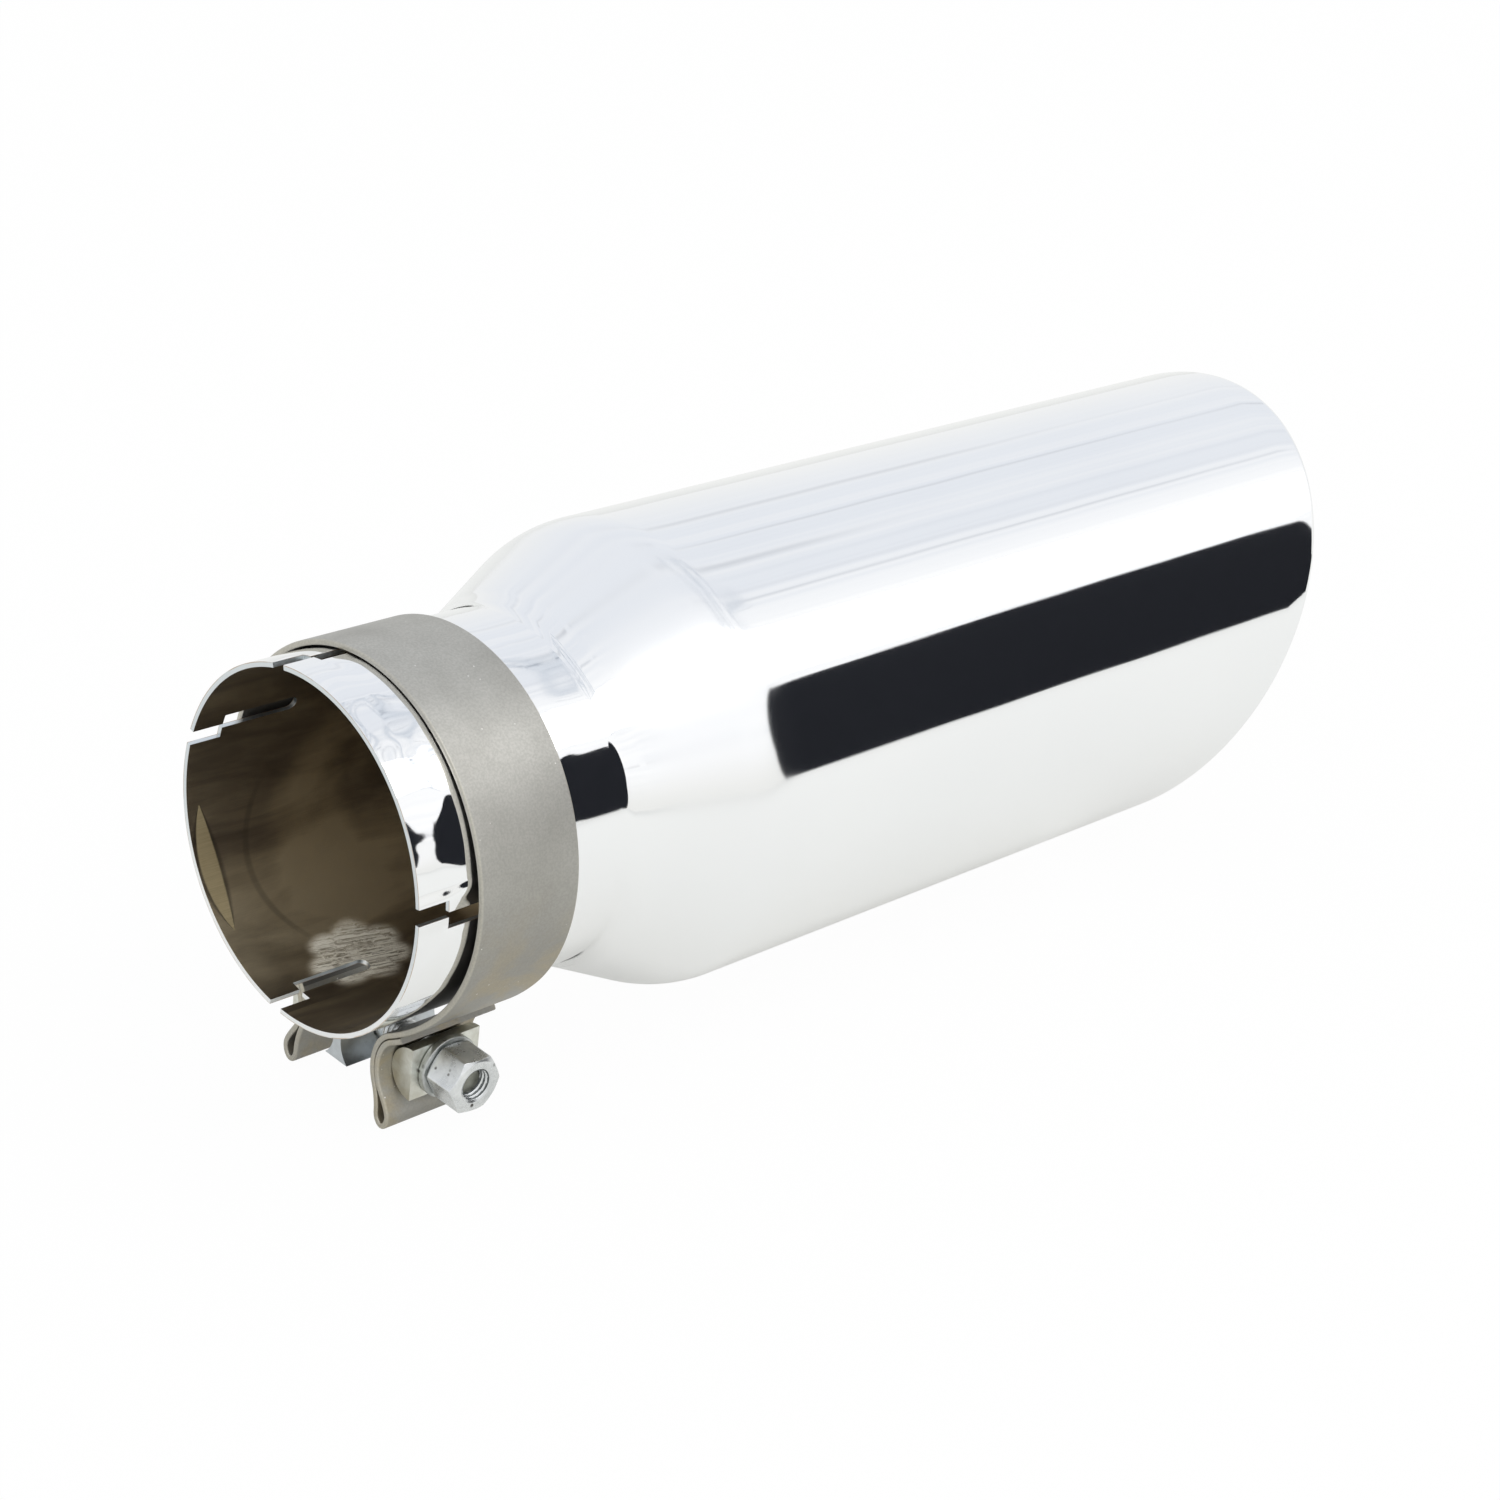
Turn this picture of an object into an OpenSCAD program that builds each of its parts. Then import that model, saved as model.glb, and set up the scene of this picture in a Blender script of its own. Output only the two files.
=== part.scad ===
// Slip-on exhaust tip with a slotted neck and a single-bolt band clamp.
// The tube runs along X. Its inlet mouth is centred on the origin and its outlet is towards +X.
// The clamp's two ears hang straight down, towards -Z, and its bolt lies along Y.

/* [Neck] */
// Inner diameter of the neck, which slips over a 101.6 mm pipe
neck_bore_d = 102; // [96:0.5:104]
// Wall of the whole shell
wall_t = 1.5; // [1:0.1:2]
// Straight length of the neck, from the mouth to the shoulder
neck_len = 72; // [60:1:100]
// Outside radius of the hollow curve from the neck into the shoulder
blend_r = 8; // [3:0.5:12]

/* [Body] */
// Outside diameter of the body
body_d = 141; // [132:1:170]
// Slope of the shoulder, from the axis, in degrees
shoulder_slope = 26; // [20:1:40]
// Outside radius of the crown from the shoulder into the body
crown_r = 32; // [10:1:40]
// Length of the tip along its axis
tip_len = 359; // [280:1:450]
// Slant of the outlet, from a square cut, in degrees
cut_slant = 28.9; // [0:0.1:32]
// Turn of the outlet's long side away from straight up, in degrees
cut_turn = 9.7; // [0:0.1:45]
// Outside radius of the rolled edge round the outlet
lip_r = 4; // [3:0.25:6]
// Straight length of the rolled edge's inner flange
lip_return = 3; // [1:0.5:8]

/* [Slots] */
// Width of each slot in the neck
slot_w = 4.8; // [3:0.1:7]
// Sideways step of each slot
slot_step = 3.4; // [1:0.1:4.5]
// Distance of the step from the mouth
slot_step_x = 10; // [6:0.5:16]
// Distance of the slots' round ends from the mouth
slot_end_x = 35; // [24:1:50]

/* [Band] */
// Width of the strap along the tube
band_w = 34; // [26:1:40]
// Thickness of the strap
strap_t = 1.8; // [1.2:0.1:2.2]
// Difference between the band's inner diameter and the neck's outside diameter
band_slack = 3; // [2.6:0.1:7]
// Distance of the band's front edge from the mouth
band_x = 18.5; // [12:0.5:28]
// Clearance between the neck and the top of the hanging band
hang_gap = 0.3; // [0.1:0.1:0.8]
// Direction from the middle of an ear's seat to its root bend, in degrees
root_turn = 151; // [140:1:160]
// Depth of an ear's curved seat below the bolt's axis
seat_depth = 6.3; // [5:0.1:8]
// Centreline radius of the bend from the band into an ear
root_r = 11.8; // [10.5:0.1:12.5]
// Clearance between the two layers of a folded ear
fold_gap = 0.15; // [0.1:0.05:0.3]
// Length of the folded layer's free end, past the root bend
tab_len = 5; // [2:0.5:12]
// Distance of the ears' round ends below the bolt's axis
ear_tail = 18.9; // [17:0.1:24]
// Outside width of the loop at the end of an ear
loop_w = 6.6; // [6:0.1:8]

/* [Bolt] */
// Distance of the bolt's axis below the neck
bolt_below = 12.9; // [12.1:0.1:14.5]
// Diameter of the bolt
bolt_d = 9.9; // [8:0.1:10.6]
// Length of the bolt under its head
bolt_len = 65; // [62:1:68]
// Width across flats of the nut and of the bolt's head
hex_flats = 16; // [14:0.5:18]
// Height of the bolt's head
head_h = 6.4; // [4:0.1:8]
// Height of the nut
nut_h = 11.5; // [8:0.5:14]
// Radial running clearance between the bolt and the nut's bore
nut_fit = 0.07; // [0.03:0.01:0.1]
// Radial clearance of the bolt in the ears, blocks and washer
bolt_play = 0.4; // [0.2:0.05:0.6]
// Outside diameter of the washer
washer_d = 19.2; // [18:0.1:21]
// Thickness of the washer
washer_t = 2.3; // [1.5:0.1:3]
// Clearance between neighbours stacked along the bolt
stack_gap = 0.1; // [0.05:0.05:0.3]

/* [Blocks] */
// Half the space between the ears at the bolt
ear_half_gap = 14.8; // [13:0.1:17]
// Centreline radius of the curved seat in each ear
seat_r = 15.8; // [14.5:0.1:17]
// Radius of the spacers' round face
spacer_r = 8.25; // [7.5:0.05:8.75]
// Depth of the spacers along the bolt
spacer_depth = 8.5; // [7:0.1:9]
// Length of the spacers along the tube
spacer_len = 24; // [20:1:30]
// Height of the block between the ears
block_h = 14; // [13:0.5:16]
// Width of the block at its edges
block_w = 10; // [8:0.5:14]
// Width of the block at its waist
block_waist = 3.2; // [2:0.2:6]

/* [Hidden] */
$fn = 96;
// Extra length of a cutting tool past the face that it cuts
cut_over = 1;

neck_r = neck_bore_d / 2 + wall_t;
body_r = body_d / 2;
// Angles of the four slots round the neck, seen from the mouth, clockwise from the top
slot_turns = [-13.9, -75.6, 185.8, 84.9];

// Straight cone between the blend's and the crown's tangent points
cone_len = (body_r - neck_r - (blend_r + crown_r) * (1 - cos(shoulder_slope))) / sin(shoulder_slope);
crown_x = neck_len + (blend_r + crown_r) * sin(shoulder_slope) + cone_len * cos(shoulder_slope);

// Half section of the shell's surface at a depth below its outside, as [x, r] points
function wall_line(depth, end_x) = concat(
    [[0, neck_r - depth]],
    [for (a = [0:2:shoulder_slope])
        [neck_len + (blend_r + depth) * sin(a), neck_r + blend_r - (blend_r + depth) * cos(a)]],
    [for (a = [shoulder_slope:-2:0])
        [crown_x - (crown_r - depth) * sin(a), body_r - crown_r + (crown_r - depth) * cos(a)]],
    [[end_x, body_r - depth]]);

function reversed(list) = [for (i = [len(list) - 1:-1:0]) list[i]];
function tail(list) = [for (i = [1:len(list) - 1]) list[i]];
function angle_of(v) = atan2(v.y, v.x);
function along(a) = [cos(a), sin(a)];
function arc(c, r, a0, a1, n) = [for (i = [0:n]) c + r * along(a0 + (a1 - a0) * i / n)];

// Rolled edge: the section of its wall, as [x from the start of the roll, r] points
lip_steps = 8;
tongue_len = 3.5;
lip_section = concat(
    [for (i = [0:lip_steps]) let (a = 180 * i / lip_steps)
        [lip_r * sin(a), body_r - lip_r + lip_r * cos(a)]],
    [[-lip_return, body_r - 2 * lip_r], [-lip_return, body_r - 2 * lip_r + wall_t]],
    [for (i = [lip_steps:-1:0]) let (a = 180 * i / lip_steps)
        [(lip_r - wall_t) * sin(a), body_r - lip_r + (lip_r - wall_t) * cos(a)]],
    [[-0.4, body_r - wall_t + 0.1], [-tongue_len, body_r - wall_t + 0.3],
     [-tongue_len, body_r - 0.3], [-0.4, body_r - 0.05]]);
lip_turns = 90;

// Start of the roll along X, at an angle round the body from the outlet's long side
function roll_x(a) = tip_len - lip_r + tan(cut_slant) * body_r * cos(a);

// Band: circles of the strap's centreline, in the plane of [out along +Y, up along Z]
band_bore_d = 2 * neck_r + band_slack;
bolt_drop = neck_r + bolt_below;
ear_reach = bolt_drop + ear_tail;
band_r = (band_bore_d + strap_t) / 2;
band_drop = band_bore_d / 2 - neck_r - hang_gap;
band_c = [0, -band_drop];
layer_pitch = strap_t + fold_gap;
// Direction from the band's centre to the end of its round part
spread_a = -40;
seat_c = [ear_half_gap + strap_t / 2 + seat_r, -bolt_drop];

// The root bend touches the seat's circle from inside. The stretch from the round part to the bend
// is an arc that leaves the round part at spread_a and touches the bend from outside.
root_c = seat_c + (seat_r - root_r) * along(root_turn);
to_root = root_c - band_c;
from_round = to_root - band_r * along(spread_a);
spread_r = (from_round * from_round - root_r * root_r)
    / (2 * (band_r + root_r - to_root * along(spread_a)));
spread_c = band_c + (band_r - spread_r) * along(spread_a);
root_a0 = angle_of(spread_c - root_c);
root_a1 = root_turn;
seat_a1 = 180 + asin(seat_depth / seat_r);

// Centreline of one layer, from an angle of the spread stretch to the end of the seat
function layer(shift, from_a) = concat(
    arc(spread_c, spread_r + shift, from_a, root_a0 - 180, 12),
    tail(arc(root_c, root_r - shift, root_a0, root_a1, 8)),
    tail(arc(seat_c, seat_r - shift, root_a1, seat_a1, 10)));

// Loop at the end of the ear: two smooth curves from the first layer, round, to the second
function bezier(p, n, left_out = 0) = [for (i = [1:n - left_out]) let (t = i / n, s = 1 - t)
    s * s * s * p[0] + 3 * s * s * t * p[1] + 3 * s * t * t * p[2] + t * t * t * p[3]];
loop_in = seat_c + seat_r * along(seat_a1);
loop_out = seat_c + (seat_r - layer_pitch) * along(seat_a1);
// Distance of the loop's lowest point from the ear's inner face
loop_shift = 6.3;
// Reach of the curves' handles where they leave the seat, and where they enter the loop
seat_ease = 2.2;
loop_ease = 2.6;
loop_low = [ear_half_gap + loop_shift, -ear_reach + strap_t / 2];
loop_side = (loop_w - strap_t) / 2;
loop_high = loop_low + [loop_side, loop_side * 1.5];
loop_turn = loop_low + [-loop_side, loop_side * 1.5];
round_k = 0.55;
loop = concat(
    bezier([loop_in, loop_in + seat_ease * along(seat_a1 + 90), loop_turn + [0, loop_ease], loop_turn], 8),
    bezier([loop_turn, loop_turn - [0, round_k * 1.5 * loop_side],
            loop_low - [round_k * loop_side, 0], loop_low], 6),
    bezier([loop_low, loop_low + [round_k * loop_side, 0],
            loop_high - [0, round_k * 1.5 * loop_side], loop_high], 6),
    bezier([loop_high, loop_high + [0, loop_ease],
            loop_out + seat_ease * along(seat_a1 + 90), loop_out], 8, 1));

// Points at a distance to the left of a line of points
function beside(line, w) = [for (i = [0:len(line) - 1])
    let (a = line[max(i - 1, 0)], b = line[min(i + 1, len(line) - 1)], u = (b - a) / norm(b - a))
    line[i] + w * [-u.y, u.x]];

// Outline of one side: down the face towards the tube and round the loop, up to the folded layer's
// free end, and back between the layers
tab_a = angle_of(root_c - spread_c) + tab_len / (spread_r + layer_pitch) * 180 / PI;
half_t = strap_t / 2;
side_outline = concat(
    layer(-half_t, spread_a), beside(loop, -half_t), reversed(layer(layer_pitch + half_t, tab_a)),
    layer(layer_pitch - half_t, tab_a), reversed(beside(loop, half_t)),
    reversed(layer(half_t, spread_a)));

// Outline of the whole strap: the right side, over the top, the left side and back under the top
round_a = 180 - spread_a;
strap_outline = concat(
    side_outline, tail(arc(band_c, band_r + half_t, spread_a, round_a, 84)),
    tail([for (p = reversed(side_outline)) [-p.x, p.y]]),
    tail(arc(band_c, band_r - half_t, round_a, spread_a + 2.5, 83)));

// Distances along the bolt from the middle of the clamp
spacer_in = ear_half_gap + strap_t + layer_pitch + stack_gap;
spacer_out = spacer_in + spacer_depth;
washer_in = spacer_out + stack_gap;
nut_in = washer_in + washer_t + stack_gap;
head_in = spacer_out + stack_gap;
bolt_x = band_x + band_w / 2;
// Angle at which the nut and the bolt's head have stopped
hex_turn = 26;

// Places its children in the bolt's own frame: X along the bolt towards the nut
module at_bolt() translate([bolt_x, 0, -bolt_drop]) rotate([0, 0, -90]) children();

// Hole for the bolt, right through whatever it is cut from
module bolt_hole() rotate([0, 90, 0])
    cylinder(h = 4 * spacer_out, r = bolt_d / 2 + bolt_play, center = true, $fn = 48);

// Solid of revolution inside a surface of the shell
module revolved(points) rotate([0, 90, 0]) rotate([0, 0, 90]) rotate_extrude()
    polygon([for (p = points) [p[1], p[0]]]);

// One slot: a first leg from the mouth, and a second leg a step further round, with a round end
module slot() translate([0, 0, neck_r - wall_t - cut_over]) {
    depth = wall_t + 2 * cut_over;
    translate([-cut_over, -slot_w / 2, 0]) cube([slot_step_x + cut_over, slot_w, depth]);
    translate([slot_step_x, -slot_w / 2 - slot_step, 0])
        cube([slot_end_x - slot_step_x - slot_w / 2, slot_w, depth]);
    translate([slot_end_x - slot_w / 2, -slot_step, 0]) cylinder(h = depth, r = slot_w / 2, $fn = 32);
}

// Rolled edge of the outlet, swept round the slanted rim
module rolled_lip() {
    n = len(lip_section);
    points = [for (i = [0:lip_turns - 1]) let (a = 360 * i / lip_turns)
        for (p = lip_section) [roll_x(a) + p[0], -p[1] * sin(a), p[1] * cos(a)]];
    faces = [for (i = [0:lip_turns - 1]) for (j = [0:n - 1])
        let (i1 = (i + 1) % lip_turns, j1 = (j + 1) % n)
        [i * n + j, i * n + j1, i1 * n + j1, i1 * n + j]];
    polyhedron(points, faces);
}

module tip_shell() color("gainsboro") {
    far_x = tip_len + body_d;
    union() {
        difference() {
            revolved(concat(wall_line(0, far_x), reversed(wall_line(wall_t, far_x))));
            rotate([-cut_turn, 0, 0]) translate([tip_len - lip_r - cut_over, 0, 0])
                rotate([0, cut_slant, 0]) translate([0, -body_d, -2 * body_d])
                    cube([4 * body_d, 2 * body_d, 4 * body_d]);
            for (a = slot_turns) rotate([a, 0, 0]) slot();
        }
        rotate([-cut_turn, 0, 0]) rolled_lip();
    }
}

module clamp_band() color("tan") difference() {
    translate([band_x, 0, 0]) rotate([90, 0, 90]) linear_extrude(band_w) polygon(strap_outline);
    at_bolt() bolt_hole();
}

// Bar between the ears, hollowed on both sides to take them
module reaction_block() color("lightsteelblue") at_bolt() difference() {
    sag = (block_w - block_waist) / 2;
    hollow_r = (block_h * block_h / 4 + sag * sag) / (2 * sag);
    cube([block_w, band_w, block_h], center = true);
    for (side = [-1, 1]) translate([side * (block_waist / 2 + hollow_r), 0, 0])
        rotate([90, 0, 0]) cylinder(h = band_w + 2 * cut_over, r = hollow_r, center = true);
    bolt_hole();
}

// Half-round bar whose round face lies in an ear's seat, with its flat face outwards
module spacer() difference() {
    translate([spacer_in + spacer_r, 0, 0]) rotate([90, 0, 0])
        cylinder(h = spacer_len, r = spacer_r, center = true);
    translate([spacer_out, -spacer_len, -2 * spacer_r]) cube([4 * spacer_r, 2 * spacer_len, 4 * spacer_r]);
    bolt_hole();
}

module nut_side_spacer() color("palegoldenrod") at_bolt() spacer();

module head_side_spacer() color("palegoldenrod") at_bolt() mirror([1, 0, 0]) spacer();

module washer() color("silver") at_bolt() difference() {
    translate([washer_in, 0, 0]) rotate([0, 90, 0]) cylinder(h = washer_t, d = washer_d);
    bolt_hole();
}

// Hexagonal prism along the bolt, with its corners turned to a 30 degree cone at the ends named
module hex_prism(height, turned_in, turned_out) rotate([0, 90, 0]) intersection() {
    face_r = hex_flats / 2 * 0.95;
    wide_r = face_r + height / tan(30);
    rotate([0, 0, hex_turn]) cylinder(h = height, r = hex_flats / 2 / cos(30), $fn = 6);
    if (turned_in) cylinder(h = height, r1 = face_r, r2 = wide_r);
    if (turned_out) cylinder(h = height, r1 = wide_r, r2 = face_r);
}

module nut() color("silver") at_bolt() translate([nut_in, 0, 0]) difference() {
    hex_prism(nut_h, true, true);
    translate([-cut_over, 0, 0]) rotate([0, 90, 0])
        cylinder(h = nut_h + 2 * cut_over, r = bolt_d / 2 + nut_fit);
}

module bolt() color("silver") at_bolt() {
    end_bevel = 1;
    translate([-head_in, 0, 0]) rotate([0, 90, 0]) {
        cylinder(h = bolt_len - end_bevel, d = bolt_d);
        translate([0, 0, bolt_len - end_bevel])
            cylinder(h = end_bevel, d1 = bolt_d, d2 = bolt_d - 2 * end_bevel);
    }
    translate([-head_in - head_h, 0, 0]) hex_prism(head_h, true, false);
}

tip_shell();
clamp_band();
reaction_block();
nut_side_spacer();
head_side_spacer();
washer();
nut();
bolt();
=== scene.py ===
"""Looks of a slip-on exhaust tip with a slotted neck and a single-bolt band clamp."""
import math
import bmesh
import bpy
import numpy as np
from mathutils import Matrix


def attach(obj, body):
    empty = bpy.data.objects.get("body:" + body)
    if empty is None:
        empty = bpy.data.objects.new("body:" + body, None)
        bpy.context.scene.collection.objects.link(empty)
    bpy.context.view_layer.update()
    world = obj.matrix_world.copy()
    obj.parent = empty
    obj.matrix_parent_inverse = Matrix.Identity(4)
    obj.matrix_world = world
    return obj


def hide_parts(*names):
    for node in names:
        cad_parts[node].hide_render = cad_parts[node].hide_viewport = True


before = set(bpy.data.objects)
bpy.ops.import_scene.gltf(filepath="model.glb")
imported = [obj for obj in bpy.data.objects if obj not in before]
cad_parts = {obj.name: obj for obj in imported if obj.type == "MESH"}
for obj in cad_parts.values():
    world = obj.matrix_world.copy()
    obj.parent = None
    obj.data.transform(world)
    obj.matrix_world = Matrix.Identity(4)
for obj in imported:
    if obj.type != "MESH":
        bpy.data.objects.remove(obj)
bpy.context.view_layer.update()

# Camera: it stands beside the inlet, a little above the tube, and looks down along it towards the
# outlet, as the photograph does. The frame of the picture is square.
camera_data = bpy.data.cameras.new("photo_camera")
camera_data.lens, camera_data.sensor_width = 73.03, 36.0
camera = bpy.data.objects.new("photo_camera", camera_data)
bpy.context.scene.collection.objects.link(camera)
bpy.context.scene.camera = camera
camera_right = np.array([0.71138, -0.69277, 0.11838])
camera_up = np.array([0.23251, 0.39093, 0.89056])
camera_back = np.cross(camera_right, camera_up)
camera_at = np.array([-0.45019, -0.57048, 0.39877])
camera.matrix_world = Matrix(np.vstack([
    np.column_stack([camera_right, camera_up, camera_back, camera_at]), [0, 0, 0, 1]]).tolist())


# Tip shell: a stainless tube with a narrow neck, spun out through a shoulder into a wide body. Its
# slanted outlet edge is rolled inwards, its outside is mirror polished, and four stepped slots
# are cut into the neck. The inside is left raw and is tinted brown by heat. Lengths are in mm.
MM = 0.001
neck_r, body_r, wall = 52.5, 70.5, 1.5
neck_len, blend_r, crown_r, slope = 72.0, 8.0, 32.0, math.radians(26)
tip_len, lip_r, lip_return, roll_steps = 359.0, 4.0, 3.0, 16
cut_slant, cut_turn = math.radians(28.9), math.radians(9.7)
slot_w, slot_step, slot_step_x, slot_end_x = 4.8, 3.4, 10.0, 35.0
slot_at = [13.9, 75.6, 174.2, -84.9]  # degrees from the top, towards +y
slot_reach, slot_close = 6.5, 5.5     # how far a slot bends the grid beside it and behind its end
cone_len = (body_r - neck_r - (blend_r + crown_r) * (1 - math.cos(slope))) / math.sin(slope)
crown_x = neck_len + (blend_r + crown_r) * math.sin(slope) + cone_len * math.cos(slope)


def neck_stations():
    """Distances from the mouth at which the neck has a row of points: the slots' steps and round
    ends have rows of their own, so that their edges lie on the grid."""
    round_end = slot_end_x - slot_w / 2 + slot_w / 2 * np.sin(np.radians(np.arange(0, 91, 11.25)))
    return np.concatenate([[0, 0.6, 2, 4, 6, 8], [slot_step_x], np.linspace(12, 30, 8), round_end,
                           slot_end_x + np.array([0.5, 1.2, 2.2, 3.5, 5.5]), np.linspace(44, 70, 9)])


def wall_rows(depth):
    """One skin of the wall, at a depth below the outside, as rows [x, share, r]. A row lies at
    x + share * (x of the roll's start), so the body's rows fan out towards the slanted cut."""
    blend = np.linspace(0, slope, 12)
    crown = np.linspace(slope, 0, 16)
    run = np.linspace(0, 1, 30)[1:]
    rows = [np.column_stack([neck_x, 0 * neck_x, 0 * neck_x + neck_r - depth]),
            np.column_stack([neck_len + (blend_r + depth) * np.sin(blend), 0 * blend,
                             neck_r + blend_r - (blend_r + depth) * np.cos(blend)]),
            np.column_stack([crown_x - (crown_r - depth) * np.sin(crown), 0 * crown,
                             body_r - crown_r + (crown_r - depth) * np.cos(crown)]),
            np.column_stack([crown_x * (1 - run), run, 0 * run + body_r - depth])]
    return np.vstack(rows)


def roll_rows(radius, from_deg, to_deg):
    """The rolled edge: a half circle about the middle of the roll, from the skin over the end."""
    a = np.radians(np.linspace(from_deg, to_deg, roll_steps + 1))
    return np.column_stack([radius * np.sin(a), 0 * a + 1, body_r - lip_r + radius * np.cos(a)])


def turns_round_neck():
    """Angles of the lines of points round the tube, 1.25 degrees apart and on each slot's edges,
    and the places of a slot's four edges across it."""
    edges = np.array([-slot_w / 2 - slot_step, -slot_w / 2, slot_w / 2 - slot_step, slot_w / 2])
    special = np.concatenate([a + np.degrees(edges / neck_r) for a in slot_at]) % 360
    even = np.arange(0, 360, 1.25)
    gap = np.abs((even[:, None] - special[None, :] + 180) % 360 - 180).min(1)
    return np.sort(np.concatenate([even[gap > 0.5], special])), edges


neck_x = neck_stations()
outer, inner = wall_rows(0.0), wall_rows(wall)
flange = [[-lip_return + 0.4, 1, body_r - 2 * lip_r], [-lip_return, 1, body_r - 2 * lip_r + 0.4],
          [-lip_return, 1, body_r - 2 * lip_r + wall - 0.4],
          [-lip_return + 0.4, 1, body_r - 2 * lip_r + wall]]
rows = np.vstack([outer[:-1], roll_rows(lip_r, 0, 180), flange, roll_rows(lip_r - wall, 180, 0),
                  inner[::-1][1:]])
turns, slot_edges = turns_round_neck()


def shell_points():
    """Point (row, turn): at the turn's angle from the top, x and r from the row. Beside a slot's
    round end the turns bend with it: the lines at its edges close as the root of r2 - x2, and
    open again behind it, and the lines between and beside them follow in proportion."""
    angle = np.radians(turns)[None, :] + 0 * rows[:, :1]
    end = slot_w / 2
    past = rows[:, 0] - (slot_end_x - end)
    half = np.where(past <= 0, end, np.where(
        past <= end, np.sqrt(np.clip(end ** 2 - past ** 2, 0, None)),
        end * np.clip((past - end) / slot_close, 0, 1) ** 0.7))
    half = np.where(rows[:, 1] > 0, end, half)
    for at in slot_at:
        side = (angle - math.radians(at) + math.pi) % (2 * math.pi) - math.pi
        y = side * neck_r + slot_step
        inside = np.abs(y) <= end
        bent = np.where(inside, y * (half / end)[:, None], np.sign(y) * (
            half[:, None] + (np.abs(y) - end) * (slot_reach - half[:, None]) / (slot_reach - end)))
        angle = angle + np.where(np.abs(y) < slot_reach, (bent - y) / neck_r, 0)
    roll_x = tip_len - lip_r + math.tan(cut_slant) * body_r * np.cos(angle - cut_turn)
    x = rows[:, :1] + rows[:, 1:2] * roll_x
    r = rows[:, 2:3] + 0 * angle
    return np.stack([x, r * np.sin(angle), r * np.cos(angle)], -1)


def ring_quads(n_rows, n_turns, closed=True):
    """Quads of a grid that closes on itself round its turns, and along its rows if closed."""
    i = np.arange(n_rows if closed else n_rows - 1)[:, None]
    j = np.arange(n_turns)[None, :]
    i1, j1 = (i + 1) % n_rows, (j + 1) % n_turns
    return np.stack([i * n_turns + j, i * n_turns + j1, i1 * n_turns + j1, i1 * n_turns + j], -1)


def piece(name, points, faces, body, finishes, finish_of=None, merge=0.0, sharp=None):
    """A mesh from points in millimetres, its doubles merged and its faces turned outwards."""
    mesh = bpy.data.meshes.new(name)
    mesh.from_pydata((np.asarray(points).reshape(-1, 3) * MM).tolist(), [],
                     [list(map(int, f)) for f in faces])
    for finish in finishes:
        mesh.materials.append(finish)
    if finish_of is not None:
        mesh.polygons.foreach_set("material_index", np.asarray(finish_of, np.int32))
    made = bmesh.new()
    made.from_mesh(mesh)
    if merge:
        bmesh.ops.remove_doubles(made, verts=made.verts, dist=merge * MM)
        bmesh.ops.dissolve_degenerate(made, dist=merge * MM, edges=made.edges)
    bmesh.ops.recalc_face_normals(made, faces=made.faces)
    made.to_mesh(mesh)
    made.free()
    mesh.polygons.foreach_set("use_smooth", np.ones(len(mesh.polygons), bool))
    if sharp is not None:
        mesh.set_sharp_from_angle(angle=math.radians(sharp))
    obj = bpy.data.objects.new(name, mesh)
    bpy.context.scene.collection.objects.link(obj)
    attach(obj, body)
    return obj


def rounded(obj, width, angle=40, segments=2, finish=-1):
    """Breaks edges sharper than the angle with a small radius, in a finish of its own if given."""
    bevel = obj.modifiers.new("broken_edges", "BEVEL")
    bevel.width, bevel.segments, bevel.material = width * MM, segments, finish
    bevel.limit_method, bevel.angle_limit = "ANGLE", math.radians(angle)
    bevel.harden_normals = True
    return obj


class Value:
    """A number that varies over a surface. Its operators add Math nodes to the finish it is of."""
    def __init__(self, finish, socket):
        self.finish, self.socket = finish, socket

    def maths(self, operation, *values, clamp=False):
        return self.finish.add("ShaderNodeMath", {"operation": operation, "use_clamp": clamp}, values)

    def __add__(self, other):
        return self.maths("ADD", self, other)

    def __sub__(self, other):
        return self.maths("SUBTRACT", self, other)

    def __rsub__(self, other):
        return self.maths("SUBTRACT", other, self)

    def __mul__(self, other):
        return self.maths("MULTIPLY", self, other)

    def __truediv__(self, other):
        return self.maths("DIVIDE", self, other)

    def __pow__(self, other):
        return self.maths("POWER", self, other)

    def __abs__(self):
        return self.maths("ABSOLUTE", self)

    def limited(self):
        return self.maths("MULTIPLY", self, 1.0, clamp=True)

    def step(self, low, high):
        """0 below low and 1 above high, with a smooth rise between them."""
        return self.finish.add("ShaderNodeMapRange", {"interpolation_type": "SMOOTHSTEP"},
                               {0: self, 1: low, 2: high, 3: 0.0, 4: 1.0})

    __radd__, __rmul__ = __add__, __mul__


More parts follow.
